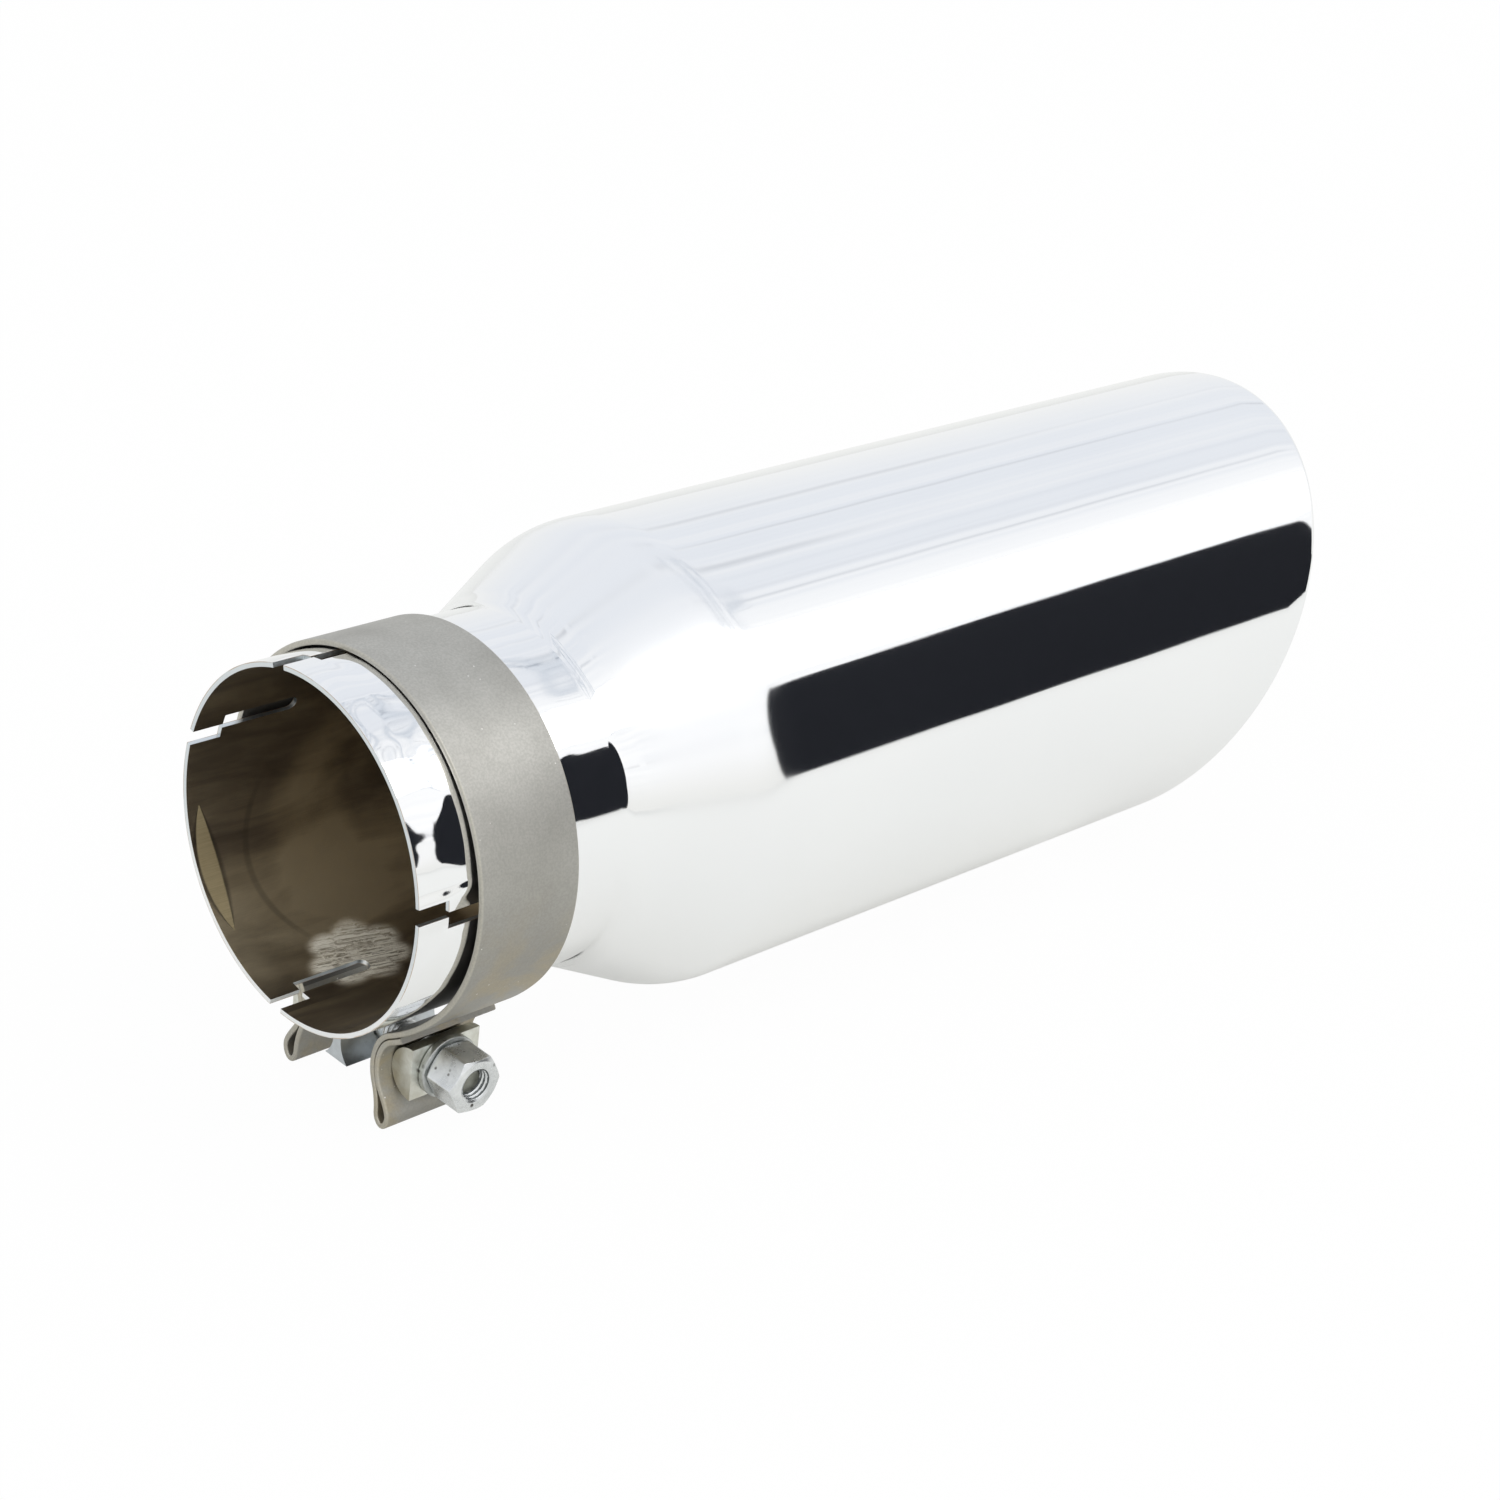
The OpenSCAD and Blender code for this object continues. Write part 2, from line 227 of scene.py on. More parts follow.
class Finish:
    """A material: its Principled shader's constants, and the nodes that vary over the surface."""
    def __init__(self, name, **constants):
        self.material = bpy.data.materials.new(name)
        self.material.use_nodes = True
        self.tree = self.material.node_tree
        self.shader = self.tree.nodes["Principled BSDF"]
        for socket, value in constants.items():
            self.shader.inputs[socket.replace("_", " ")].default_value = value

    def add(self, kind, settings=None, values=(), output=0):
        """A node of a kind, with its settings set first and then its sockets' values or links."""
        node = self.tree.nodes.new(kind)
        for name, value in (settings or {}).items():
            if name == "stops":
                while len(node.color_ramp.elements) < len(value):
                    node.color_ramp.elements.new(0.5)
                for element, (position, colour) in zip(node.color_ramp.elements, value):
                    element.position, element.color = position, (*colour, 1.0)
            else:
                setattr(node, name, value)
        for key, value in (values.items() if isinstance(values, dict) else enumerate(values)):
            if isinstance(value, Value):
                self.tree.links.new(value.socket, node.inputs[key])
            else:
                node.inputs[key].default_value = value
        return Value(self, node.outputs[output])

    def place(self):
        """The place on the object, in metres, as one vector and as its three numbers."""
        vector = self.add("ShaderNodeTexCoord", output=3)
        parts = self.add("ShaderNodeSeparateXYZ", None, [vector]).socket.node.outputs
        return (vector, *(Value(self, socket) for socket in parts))

    def turn(self, y, z):
        """The angle round the tube from the top, or of any other pair of numbers."""
        return self.add("ShaderNodeMath", {"operation": "ARCTAN2"}, [y, z])

    def vector(self, x, y, z):
        return self.add("ShaderNodeCombineXYZ", None, [x, y, z])

    def noise(self, vector, scale, detail=3.0, rough=0.5, twist=0.0):
        values = {"Vector": vector, "Scale": scale, "Detail": detail, "Roughness": rough,
                  "Distortion": twist}
        return self.add("ShaderNodeTexNoise", None, values)

    def mixed(self, mask, first, second):
        """The first colour where the mask is 0 and the second where it is 1."""
        first, second = ((*c, 1.0) if isinstance(c, tuple) else c for c in (first, second))
        return self.add("ShaderNodeMix", {"data_type": "RGBA"}, {0: mask, 6: first, 7: second},
                        output=2)

    def bumped(self, height, distance=1.0):
        """A normal from a height, which is in metres when the distance is 1."""
        return self.add("ShaderNodeBump", None, {"Distance": distance, "Height": height})

    def surface(self, **links):
        """Links what varies over the surface to the shader's sockets."""
        for socket, value in links.items():
            self.tree.links.new(value.socket, self.shader.inputs[socket.replace("_", " ")])
        return self.material


def polished_outside():
    """Mirror polish: faint lines along the tube, and a neck that spinning left a little wavy, most
    of all at the mouth, where the edge also drops away and one slot has a burr beside it. The
    spun shoulder is a little less bright, and the neck runs into it with a soft step."""
    finish = Finish("polished_stainless", Metallic=1.0)
    vector, x, y, z = finish.place()
    turn = finish.turn(y, z)
    lines = finish.noise(finish.vector(x * 3.0, turn * 60.0, 0.0), 4.0, 4.0, 0.6)
    haze = finish.noise(vector, 9.0, 3.0, 0.55)
    waves = finish.noise(vector, 52.0, 0.0, 0.4, 1.0)
    slow = finish.noise(vector, 14.0, 1.0, 0.4)
    neck = 1.0 - x.step(0.052, 0.072)
    mouth = 1.0 - x.step(0.008, 0.034)
    rise = x.step(0.0, 0.0085) * (slow * 0.9 + 0.5)
    spun = x.step(0.076, 0.090) * (1.0 - x.step(0.104, 0.128))
    blend = x.step(0.0715, 0.0805)
    burr = (1.0 - abs(turn + 1.482).step(0.04, 0.13)) * (1.0 - x.step(0.014, 0.030))
    colour = finish.mixed(haze, (0.885, 0.893, 0.905), (0.935, 0.94, 0.945))
    height = waves * (neck * 0.00018 + mouth * 0.00050) + rise * 0.00019 + lines * 0.0000016
    height = height + slow * 0.00012 - blend * 0.0014 + burr * (waves - 0.40) * 0.0028
    rough = lines * 0.03 + haze * 0.035 + spun * 0.13 + 0.008
    return finish.surface(Base_Color=colour, Roughness=rough, Normal=finish.bumped(height))


def raw_inside():
    """Heat-tinted raw steel: brown with tan patches, drawn out round the tube, a leaf-shaped gold
    mark at the mouth, and a lobed patch below where the scale has been ground away in strokes. A
    band of the lower inside is painted lighter: painted light, not tint."""
    finish = Finish("raw_stainless", Metallic=1.0)
    vector, x, y, z = finish.place()
    turn = finish.turn(y, z)
    flow = finish.noise(finish.vector(x * 12.0, turn * 2.6, 0.0), 1.7, 4.0, 0.58, 0.8)
    fine = finish.noise(finish.vector(x * 40.0, turn * 90.0, 0.0), 2.0, 3.0, 0.65)
    cloud = finish.noise(vector, 34.0, 4.0, 0.62)
    wrapped = turn + (0.0 - turn).step(0.0, 0.001) * 6.28318
    # Painted light: the lower inside, from about 110 to 178 degrees round, is made lighter and a
    # little less metallic.
    low = wrapped.step(1.9, 2.4) * (1.0 - wrapped.step(2.6, 3.1))
    # A faint bow-shaped line in the tint, and the tan beyond it.
    from_line = x - 0.0165 - (turn - 2.2) * (turn - 2.2) * 0.037
    line = (1.0 - abs(from_line).step(0.0004, 0.0016)) * (1.0 - abs(turn - 2.2).step(0.3, 0.6))
    tan = finish.noise(vector, 17.0, 3.0, 0.55, 0.5).step(0.28, 0.56) * from_line.step(0.004, 0.018)
    tan = tan * (1.0 - x.step(0.040, 0.080)) * (1.0 - abs(turn - 2.0).step(0.25, 0.80))
    # The tint, which also carries that painted light of the lower band.
    heat_tint_and_painted_light = flow * 0.56 + cloud * 0.18 + fine * 0.12 + tan * 0.42 + low * 0.25
    brown = finish.add("ShaderNodeValToRGB", {"stops": [
        (0.30, (0.200, 0.165, 0.130)), (0.44, (0.330, 0.275, 0.205)),
        (0.58, (0.520, 0.440, 0.305)), (0.75, (0.740, 0.640, 0.450))]}, [heat_tint_and_painted_light])
    brown = finish.mixed(line * 0.34, brown, (0.13, 0.11, 0.09))
    # The leaf: its half width falls off with the square of the turn from its middle.
    near = abs(x - 0.0040) / (0.0034 - (turn - 2.128) * (turn - 2.128) * 0.0244)
    inside_leaf = 1.0 - abs(turn - 2.128).step(0.365, 0.373)
    leaf = (1.0 - near.step(0.80, 1.0)) * inside_leaf
    rim_of_leaf = (1.0 - near.step(1.05, 1.5)) * inside_leaf
    rimmed = finish.mixed(rim_of_leaf * 0.6, brown, (0.12, 0.10, 0.08))
    gold = finish.mixed(cloud * 0.5 + fine * 0.6, (0.30, 0.23, 0.13), (0.86, 0.73, 0.44))
    tinted = finish.mixed(leaf, rimmed, gold)
    # The ground patch: a disc of seven lobes, with an edge that the strokes make ragged.
    u, v = (x - 0.0345) / 0.0185, (wrapped - 2.90) * 3.78
    lobes = abs(finish.add("ShaderNodeMath", {"operation": "SINE"}, [finish.turn(v, u) * 3.5]))
    drawn_out = finish.vector(x * 95.0 + cloud * 9.0, wrapped * 48.0 - x * 160.0, 0.0)
    strokes = finish.noise(drawn_out, 1.2, 5.0, 0.8, 0.9)
    size = (u * u + v * v) ** 0.5 - lobes * 0.16 + (cloud - 0.5) * 0.35 + (strokes - 0.5) * 0.35
    ground = (1.0 - size.step(0.62, 0.90)) * (strokes.step(0.38, 0.56) * 0.80 + 0.20)
    ground = ground * (1.0 - v.step(0.45, 0.95) * 0.5)
    colour = finish.mixed(ground.limited(), tinted, (1.0, 0.96, 0.82))
    rough = flow * 0.20 + fine * 0.12 + ground * 0.20 + 0.24
    metal = (0.97 - ground * 0.85 - leaf * 0.35 - low * 0.10).limited()
    return finish.surface(Base_Color=colour, Roughness=rough, Metallic=metal,
                          Normal=finish.bumped(fine * 0.00002 + strokes * ground * 0.00010))


def cut_edge():
    """Sheared wall of the mouth and slots: painted light and shade, bright below and greyer in the
    upper half, with a thin heat-stained line at the outside."""
    finish = Finish("cut_stainless", Metallic=1.0)
    vector, x, y, z = finish.place()
    radius = (y * y + z * z) ** 0.5
    stain = radius.step(0.05212, 0.05238) * finish.noise(vector, 150.0).step(0.3, 0.6)
    # Painted light and shade: the wall is brighter below and greyer in its upper half.
    edge = finish.mixed(z.step(-0.035, 0.0), (0.92, 0.93, 0.93), (0.70, 0.74, 0.76))
    colour = finish.mixed(stain * 0.7, edge, (0.46, 0.29, 0.14))
    grain = finish.noise(vector, 900.0, 2.0)
    return finish.surface(Base_Color=colour, Roughness=grain * 0.25 + 0.22,
                          Normal=finish.bumped(grain, 0.00003))


def make_shell():
    """The closed grid of both skins, less the slots, whose side walls join row i of the outer
    skin to the same row of the inner skin, which is row n - 1 - i."""
    n, m, k = len(rows), len(turns), len(neck_x)
    quads = ring_quads(n, m)
    keep = np.ones((n, m), bool)
    middle = turns + ((np.roll(turns, -1) - turns) % 360) / 2
    row_mid = (neck_x[:-1] + neck_x[1:]) / 2
    walls = []
    for at in slot_at:
        y = np.radians((middle - at + 180) % 360 - 180) * neck_r
        first = (y > slot_edges[1]) & (y < slot_edges[3])
        second = (y > slot_edges[0]) & (y < slot_edges[2])
        gone = np.where((row_mid < slot_step_x)[:, None], first[None, :],
                        second[None, :] & (row_mid < slot_end_x)[:, None])
        keep[:k - 1][gone] = False
        keep[n - k:n - 1][gone[::-1]] = False
        keep[n - 1][first] = False
        i, j = np.nonzero(gone != np.roll(gone, 1, axis=1))
        back = n - 1 - i
        walls.append(np.stack([i * m + j, (i + 1) * m + j, (back - 1) * m + j, back * m + j], -1))
        i, j = np.nonzero(gone[1:] != gone[:-1])
        i, j1 = i + 1, (j + 1) % m
        back = n - 1 - i
        walls.append(np.stack([i * m + j, i * m + j1, back * m + j1, back * m + j], -1))
    raw, cut = 1, 2
    skin = np.zeros((n, m), int)
    skin[len(outer) + roll_steps + len(flange):] = raw
    skin[n - 1] = cut
    walls = np.vstack(walls)
    faces = np.vstack([quads[keep], walls])
    finish_of = np.concatenate([skin[keep], np.full(len(walls), cut)])
    finishes = [polished_outside(), raw_inside(), cut_edge()]
    return piece("polished_tip", shell_points(), faces, "tip", finishes, finish_of, merge=0.002)


tip = rounded(make_shell(), 0.22, 50)
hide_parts("tip_shell")

# Band clamp: one flat strap of satin stainless steel, bent round the neck. Each end turns down into
# an ear, loops back on itself round the bottom and ends in a short tab above the root bend. Both
# layers of the ears are drilled for the bolt.
band_w, strap_t, band_x, hang_gap = 34.0, 1.8, 18.5, 0.3
root_turn, root_r, seat_r, seat_depth, fold_gap, tab_len = 151.0, 11.8, 15.8, 6.3, 0.15, 5.0
ear_half_gap, ear_tail, loop_w = 14.8, 18.9, 6.6
bolt_drop, bolt_x = neck_r + 12.9, band_x + band_w / 2
bolt_d, bolt_play = 9.9, 0.4
hole_r = bolt_d / 2 + bolt_play
band_bore = neck_r + 1.5
band_r = band_bore + strap_t / 2
band_c = np.array([0.0, -(band_bore - neck_r - hang_gap)])
pitch = strap_t + fold_gap
spread_a, seat_a1 = -40.0, 180 + math.degrees(math.asin(seat_depth / seat_r))
spread_steps, root_steps = 24, 18


def along(deg):
    """Unit vector at an angle: its cosine and sine."""
    return np.array([math.cos(math.radians(deg)), math.sin(math.radians(deg))])


def angle_of(v):
    return math.degrees(math.atan2(v[1], v[0]))


def arc(centre, radius, from_deg, to_deg, n):
    """Points on a circle at even angles: the centre plus the radius times cosine and sine."""
    a = np.radians(np.linspace(from_deg, to_deg, n + 1))
    return centre + radius * np.stack([np.cos(a), np.sin(a)], -1)


def bezier(p, n):
    """Cubic curve: its four points weighted by (1-t)^3, 3(1-t)^2 t, 3(1-t) t^2 and t^3."""
    t = np.linspace(0, 1, n + 1)[:, None]
    s = 1 - t
    return s ** 3 * p[0] + 3 * s * s * t * p[1] + 3 * s * t * t * p[2] + t ** 3 * p[3]


def strap_side():
    """Centreline of the right side: out on the spread arc, in round the root bend, along the seat
    that takes the spacer, round the loop at the end and back up to the tab's end. The root bend
    touches the seat's circle from inside, and the spread arc leaves the round part at spread_a with
    the one radius that touches the root bend from outside."""
    seat_c = np.array([ear_half_gap + strap_t / 2 + seat_r, -bolt_drop])
    root_c = seat_c + (seat_r - root_r) * along(root_turn)
    to_root = root_c - band_c
    from_round = to_root - band_r * along(spread_a)
    spread_r = (from_round @ from_round - root_r ** 2) / (
        2 * (band_r + root_r - to_root @ along(spread_a)))
    spread_c = band_c + (band_r - spread_r) * along(spread_a)
    root_a0, root_a1 = angle_of(spread_c - root_c), root_turn

    def layer(shift, from_a):
        return [arc(spread_c, spread_r + shift, from_a, root_a0 - 180, spread_steps),
                arc(root_c, root_r - shift, root_a0, root_a1, root_steps),
                arc(seat_c, seat_r - shift, root_a1, seat_a1, 26)]

    down, up = along(seat_a1 + 90) * 2.2, np.array([0, 2.6])
    first, last = seat_c + seat_r * along(seat_a1), seat_c + (seat_r - pitch) * along(seat_a1)
    low = np.array([ear_half_gap + 6.3, -bolt_drop - ear_tail + strap_t / 2])
    side = (loop_w - strap_t) / 2
    high, turn = low + [side, side * 1.5], low + [-side, side * 1.5]
    k = 0.55 * side
    loop = [bezier([first, first + down, turn + up, turn], 12),
            bezier([turn, turn - [0, k * 1.5], low - [k, 0], low], 10),
            bezier([low, low + [k, 0], high - [0, k * 1.5], high], 10),
            bezier([high, high + up, last + down, last], 12)]
    tab_a = angle_of(root_c - spread_c) + math.degrees(tab_len / (spread_r + pitch))
    return joined(layer(0, spread_a) + loop + [part[::-1] for part in layer(pitch, tab_a)[::-1]])


def joined(parts):
    """Runs of points end to end, with each shared point kept once."""
    return np.vstack([parts[0]] + [part[1:] for part in parts[1:]])


right = strap_side()
over = arc(band_c, band_r, 180 - spread_a, spread_a, 150)
strap_line = joined([(right * [-1, 1])[::-1], over, right])


def strap_section(width, thick, corner):
    """Flat strip's section with rounded corners, as [across, out] points."""
    a = np.radians(np.linspace(0, 90, 5))
    quarter = corner * np.stack([np.cos(a), np.sin(a)], -1)
    quarter = quarter + [width / 2 - corner, thick / 2 - corner]
    return np.vstack([quarter, (quarter * [-1, 1])[::-1], quarter * [-1, -1],
                      (quarter * [1, -1])[::-1]])


def carried(line, section, x_middle):
    """The section carried along the line in the plane across the tube: each ring is set out by the
    line's left-hand normal, from central differences."""
    tangent = np.gradient(line, axis=0)
    tangent /= np.linalg.norm(tangent, axis=1)[:, None]
    normal = np.stack([-tangent[:, 1], tangent[:, 0]], -1)
    flat = line[:, None, :] + section[None, :, 1:2] * normal[:, None, :]
    x = x_middle + section[None, :, 0] + 0 * flat[..., 0]
    return np.concatenate([x[..., None], flat], -1)


def satin_strap():
    """Tumbled satin steel: warm grey, faint lines along the strap, small painted glints at pits, a
    brownish tarnish low down that also stands in for the shade on the ears, painted shade that
    darkens the lower part, and edges rubbed a little brighter and yellower."""
    finish = Finish("satin_stainless", Metallic=1.0)
    vector, x, y, z = finish.place()
    turn = finish.turn(y, z)
    lines = finish.noise(finish.vector(x * 500.0, turn * 4.0, 0.0), 2.0, 4.0, 0.65)
    grain = finish.noise(vector, 1500.0, 2.0, 0.6)
    cloud = finish.noise(vector, 22.0, 4.0, 0.6)
    pits = {"Vector": vector, "Scale": 420.0}
    from_edge = finish.add("ShaderNodeTexVoronoi", {"feature": "DISTANCE_TO_EDGE"}, pits)
    from_middle = finish.add("ShaderNodeTexVoronoi", None, pits)
    # Painted glints: small near-white spots at pits stand in for light caught by the tumbled surface.
    painted_glint = (1.0 - from_middle.step(0.05, 0.12)) * from_edge.step(0.2, 0.3)
    painted_glint = painted_glint * finish.noise(vector, 75.0).step(0.54, 0.62)
    edge = abs(x - bolt_x * MM).step(0.01625, 0.01690)
    colour = finish.mixed(cloud.step(0.25, 0.75), (0.400, 0.390, 0.360), (0.560, 0.550, 0.515))
    colour = finish.mixed(lines.step(0.35, 0.75) * 0.12, colour, (0.54, 0.53, 0.49))
    # A brownish tarnish on the low parts, which also paints the shade on the ears.
    tarnish_and_painted_shade = finish.noise(vector, 38.0, 4.0, 0.6, 0.4).step(0.44, 0.62)
    tarnish_and_painted_shade = tarnish_and_painted_shade * (0.01 - z).step(0.0, 0.050)
    # Painted shade: the strap grows darker towards the bottom, where less light falls.
    colour = finish.mixed((0.035 - z).step(0.0, 0.05) * 0.50, colour, (0.31, 0.30, 0.275))
    colour = finish.mixed(tarnish_and_painted_shade * 0.7, colour, (0.45, 0.38, 0.25))
    colour = finish.mixed(edge * 0.45, colour, (0.62, 0.585, 0.49))
    colour = finish.mixed(grain.step(0.35, 0.65) * 0.25, colour, (0.30, 0.295, 0.27))
    colour = finish.mixed(painted_glint * 0.9, colour, (0.92, 0.91, 0.88))
    rough = 0.47 + grain * 0.14 - edge * 0.12 - painted_glint * 0.25
    height = grain * 0.000014 + lines * 0.000005
    return finish.surface(Base_Color=colour, Roughness=rough, Normal=finish.bumped(height))


def painted_shade_inside():
    """The strap's hidden inner side: painted shade, a dark grey mottle."""
    finish = Finish("strap_inside_painted_shade", Metallic=1.0)
    cloud = finish.noise(finish.place()[0], 60.0, 4.0, 0.6)
    colour = finish.mixed(cloud, (0.16, 0.15, 0.14), (0.30, 0.285, 0.265))
    return finish.surface(Base_Color=colour, Roughness=cloud * 0.2 + 0.4)


def drilled(obj):
    """Cuts the bolt's hole right through a piece: takes away a long cylinder about its axis."""
    cutter_mesh = bpy.data.meshes.new("drill")
    a = np.radians(np.arange(0, 360, 5))
    ring = np.stack([bolt_x + hole_r * np.cos(a), 0 * a, -bolt_drop + hole_r * np.sin(a)], -1)
    count = len(a)
    j = np.arange(count)
    sides = np.stack([j, (j + 1) % count, (j + 1) % count + count, j + count], -1).tolist()
    cutter_mesh.from_pydata((np.vstack([ring - [0, 60, 0], ring + [0, 60, 0]]) * MM).tolist(), [],
                            sides + [list(range(count))[::-1], list(range(count, 2 * count))])
    cutter = bpy.data.objects.new("drill", cutter_mesh)
    bpy.context.scene.collection.objects.link(cutter)
    made = bmesh.new()
    made.from_mesh(cutter_mesh)
    bmesh.ops.recalc_face_normals(made, faces=made.faces)
    made.to_mesh(cutter_mesh)
    made.free()
    cut = obj.modifiers.new("bolt_hole", "BOOLEAN")
    cut.operation, cut.object, cut.solver = "DIFFERENCE", cutter, "EXACT"
    bpy.context.view_layer.update()
    mesh = bpy.data.meshes.new_from_object(obj.evaluated_get(bpy.context.evaluated_depsgraph_get()))
    obj.modifiers.clear()
    obj.data = mesh
    bpy.data.objects.remove(cutter)
    mesh.set_sharp_from_angle(angle=math.radians(35))
    return obj


section = strap_section(band_w, strap_t, 0.55)
strap_points = carried(strap_line, section, bolt_x)
n_line, n_section = strap_points.shape[:2]
strap_faces = ring_quads(n_line, n_section, closed=False).reshape(-1, 4).tolist()
strap_faces += [list(range(n_section)), list(range((n_line - 1) * n_section, n_line * n_section))]
# The inner side, painted dark as shade, runs from one root bend, up round the neck, to the other.
hidden_from = len(right) - 1 - spread_steps - root_steps
inner_side = (section[:, 1] + np.roll(section[:, 1], -1)) / 2 < 0.1 - strap_t / 2
hidden = np.zeros((n_line - 1, n_section), int)
hidden[hidden_from:n_line - 1 - hidden_from, inner_side] = 1
strap = drilled(piece("band_clamp_strap", strap_points, strap_faces, "tip",
                      [satin_strap(), painted_shade_inside()], np.concatenate([hidden.ravel(), [0, 0]])))
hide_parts("clamp_band")

# Spacers: two short bars of half-round steel, drilled through, that lie in the ears' seats and give
# the bolt's head and the washer a flat face to bear on. They are zinc plated, a little yellow, and
# their broken edges are rubbed bright, with a painted highlight in that brighter finish.
stack_gap = 0.1
spacer_r, spacer_depth, spacer_len = 8.25, 8.5, 24.0
spacer_in = ear_half_gap + strap_t + pitch + stack_gap
spacer_out = spacer_in + spacer_depth


def bar(name, outline, length, body, finishes, side):
    """A bar along the tube's direction: its outline, as [out along the bolt, up] points, carried
    from end to end, with the two ends closed by flat faces, and its edges broken in the second
    finish. The side is 1 for the nut's side and -1 for the head's."""
    x = np.array([-length / 2, length / 2])
    out, up = outline[:, 0] * -side, outline[:, 1] - bolt_drop
    points = np.stack([np.broadcast_to(bolt_x + x[:, None], (2, len(out))),
                       np.broadcast_to(out, (2, len(out))), np.broadcast_to(up, (2, len(out)))], -1)
    n = len(out)
    faces = ring_quads(2, n, closed=False).reshape(-1, 4).tolist()
    faces += [list(range(n)), list(range(n, 2 * n))]
    obj = piece(name, points, faces, body, finishes, sharp=30)
    return rounded(drilled(obj), 0.5, 35, 3, 1)


def plated(name, light, dark, rough, speck=0.0, tint=None):
    """Zinc plating: a soft mottle between two tones, a fine grain, small dark specks of dirt, and
    clouds of a third tone if one is given."""
    finish = Finish(name, Metallic=1.0)
    vector = finish.place()[0]
    mottle = finish.noise(vector, 160.0, 4.0, 0.65, 0.4)
    cloud = finish.noise(vector, 45.0, 3.0)
    grain = finish.noise(vector, 1400.0, 2.0)
    dots = finish.add("ShaderNodeTexVoronoi", None, {"Vector": vector, "Scale": 330.0})
    dirt = (1.0 - dots.step(0.12, 0.26)) * finish.noise(vector, 120.0).step(0.52, 0.66) * speck
    colour = finish.mixed(mottle.step(0.25, 0.8), dark, light)
    if tint:
        colour = finish.mixed(cloud.step(0.45, 0.75) * 0.6, colour, tint)
    colour = finish.mixed(dirt.limited(), colour, (0.07, 0.06, 0.05))
    height = mottle * 0.000035 + grain * 0.000008
    return finish.surface(Base_Color=colour, Roughness=rough + mottle * 0.16 + dirt * 0.3,
                          Normal=finish.bumped(height))


def half_round():
    """The spacer's outline: a circle cut off flat on the outer side, at the spacer's depth."""
    reach = spacer_depth - spacer_r
    a1 = math.degrees(math.acos(reach / spacer_r))
    return arc(np.array([spacer_in + spacer_r, 0.0]), spacer_r, a1, 360 - a1, 40)


yellow_zinc = plated("yellow_zinc", (0.86, 0.88, 0.83), (0.60, 0.59, 0.52), 0.24, 0.5,
                     (0.88, 0.81, 0.58))
# Rubbed edge wear, much brighter than the plating, which also paints the edges' highlight.
rubbed_zinc_painted_highlight = plated("rubbed_zinc_painted_highlight", (1.0, 1.0, 0.97), (0.90, 0.89, 0.83), 0.10)
for name, side in (("nut_side_spacer", 1), ("head_side_spacer", -1)):
    spacer = bar(name + "_bar", half_round(), spacer_len, "tip", [yellow_zinc, rubbed_zinc_painted_highlight], side)
    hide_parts(name)

# Reaction block: a drawn steel bar between the ears, hollowed on both sides so that the ears' seats
# close on it when the nut is tightened. It is zinc plated, with a bluish passivation.
block_h, block_w, block_waist = 14.0, 10.0, 3.2


def hourglass():
    """The block's outline: two flats and two hollow arcs of one radius, through waist and corners."""
    sag = (block_w - block_waist) / 2
    hollow_r = (block_h ** 2 / 4 + sag ** 2) / (2 * sag)
    reach = math.degrees(math.asin(block_h / 2 / hollow_r))
    side = arc(np.array([block_waist / 2 + hollow_r, 0.0]), hollow_r, 180 - reach, 180 + reach, 28)
    return np.vstack([side, (side * [-1, 1])[::-1]])


blue_zinc = plated("blue_zinc", (0.70, 0.75, 0.78), (0.54, 0.57, 0.60), 0.24, 0.25,
                   (0.56, 0.56, 0.52))
block = bar("reaction_block_bar", hourglass(), band_w, "tip", [blue_zinc, blue_zinc], 1)
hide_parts("reaction_block")

# Washer: a thick plain washer, punched from steel and zinc plated, between spacer and nut. It is
# darker and greyer than the nut.
washer_d, washer_t = 19.2, 2.3
washer_in = spacer_out + stack_gap


def about_bolt(out, radius, turn):
    """Points round the bolt's axis: out along the bolt towards the nut, and a radius at a turn."""
    out, radius, turn = np.broadcast_arrays(out, radius, turn)
    return np.stack([bolt_x + radius * np.cos(turn), -out, -bolt_drop + radius * np.sin(turn)], -1)


def ring_section(r0, r1, t0, t1, corner):
    """A ring's section with rounded corners, as a closed run of [out, radius] points."""
    box = strap_section(t1 - t0, r1 - r0, corner)
    return box + [(t0 + t1) / 2, (r0 + r1) / 2]


washer_zinc = plated("washer_zinc", (0.60, 0.62, 0.61), (0.34, 0.35, 0.34), 0.22, 1.0)
ring = ring_section(hole_r, washer_d / 2, washer_in, washer_in + washer_t, 0.35)
round_turns = np.radians(np.arange(0, 360, 3.75))
washer_points = about_bolt(ring[:, :1], ring[:, 1:2], round_turns[None, :])
washer_faces = ring_quads(len(ring), len(round_turns)).reshape(-1, 4)
washer = piece("plain_washer", washer_points, washer_faces, "washer", [washer_zinc])
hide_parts("washer")

# Nut: a tall hexagon nut, cold formed, with its corners turned off at both faces and a right-hand
# M10 thread of 1.5 mm pitch tapped through it. The thread's roots are painted dark as shade.
hex_flats, nut_h, head_h, lead, hex_turn = 16.0, 11.5, 6.4, 1.5, -4.0
nut_minor, nut_major, sink_r = 4.30, 5.05, 5.45
nut_in = washer_in + washer_t + stack_gap
sector = np.array([0, 1.2, 2.6, 4.5, 7.5, 12, 18, 24, 30, 36, 42, 48, 52.5, 55.5, 57.4, 58.8])
hex_turns = np.radians((np.arange(6)[:, None] * 60 + sector[None, :] + hex_turn).ravel())


